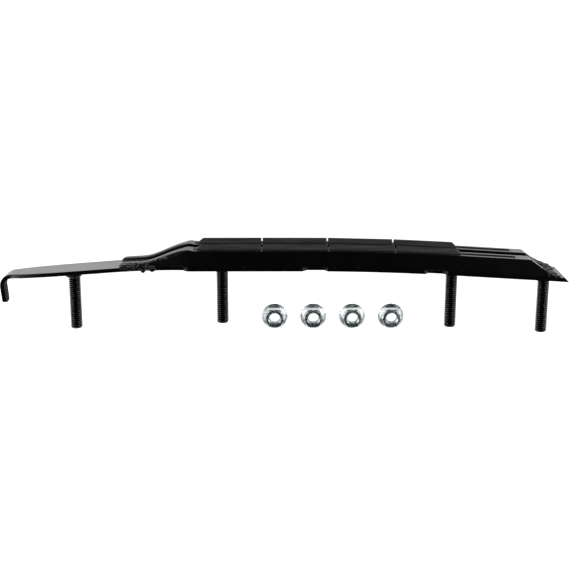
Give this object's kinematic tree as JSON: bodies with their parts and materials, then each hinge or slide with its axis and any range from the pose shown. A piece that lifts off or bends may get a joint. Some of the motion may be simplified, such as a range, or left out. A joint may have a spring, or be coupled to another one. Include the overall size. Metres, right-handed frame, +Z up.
{
  "type": "ski wear bar",
  "caption": "Dual-bar steel ski wear bar with brazed carbide inserts, a nose hook, threaded studs and loose flange nuts.",
  "frame": {"origin": "on the bench, under the middle of the bar and its nuts as they lie on their side", "axes": "+X from the nose hook to the tail, +Y to the edge that bites the snow (the studs point to -Y), +Z up from the bench"},
  "size_m": [0.4364, 0.0758, 0.0352],
  "materials": {
    "black_paint": "gloss black paint",
    "weld_paint": "gloss black paint over rough weld metal",
    "carbide": "dark ground carbide under thin paint",
    "zinc_plate": "bright zinc plate"
  },
  "bodies": {
    "runner": {"base_plate": "black_paint", "host_bar_right": "black_paint", "host_bar_left": "black_paint", "carbide_right_1": "carbide", "carbide_right_2": "carbide", "carbide_right_3": "carbide", "carbide_right_4": "carbide", "carbide_left_1": "carbide", "carbide_left_2": "carbide", "carbide_left_3": "carbide", "carbide_left_4": "carbide", "nose_weld_right": "weld_paint", "nose_weld_left": "weld_paint", "tail_weld_right": "weld_paint", "tail_weld_left": "weld_paint", "stud_1": "black_paint", "stud_2": "black_paint", "stud_3": "black_paint", "stud_4": "black_paint", "stud_weld_1": "weld_paint", "stud_weld_2": "weld_paint", "stud_weld_3": "weld_paint", "stud_weld_4": "weld_paint"},
    "nut_1": {"flange_nut_1": "zinc_plate"},
    "nut_2": {"flange_nut_2": "zinc_plate"},
    "nut_3": {"flange_nut_3": "zinc_plate"},
    "nut_4": {"flange_nut_4": "zinc_plate"}
  },
  "joints": [
    {"name": "nut_1_lift", "type": "slide", "parent": "runner", "child": "nut_1", "axis": [0, 0, 1], "range_m": [0, 0.05]},
    {"name": "nut_2_lift", "type": "slide", "parent": "runner", "child": "nut_2", "axis": [0, 0, 1], "range_m": [0, 0.05]},
    {"name": "nut_3_lift", "type": "slide", "parent": "runner", "child": "nut_3", "axis": [0, 0, 1], "range_m": [0, 0.05]},
    {"name": "nut_4_lift", "type": "slide", "parent": "runner", "child": "nut_4", "axis": [0, 0, 1], "range_m": [0, 0.05]}
  ]
}
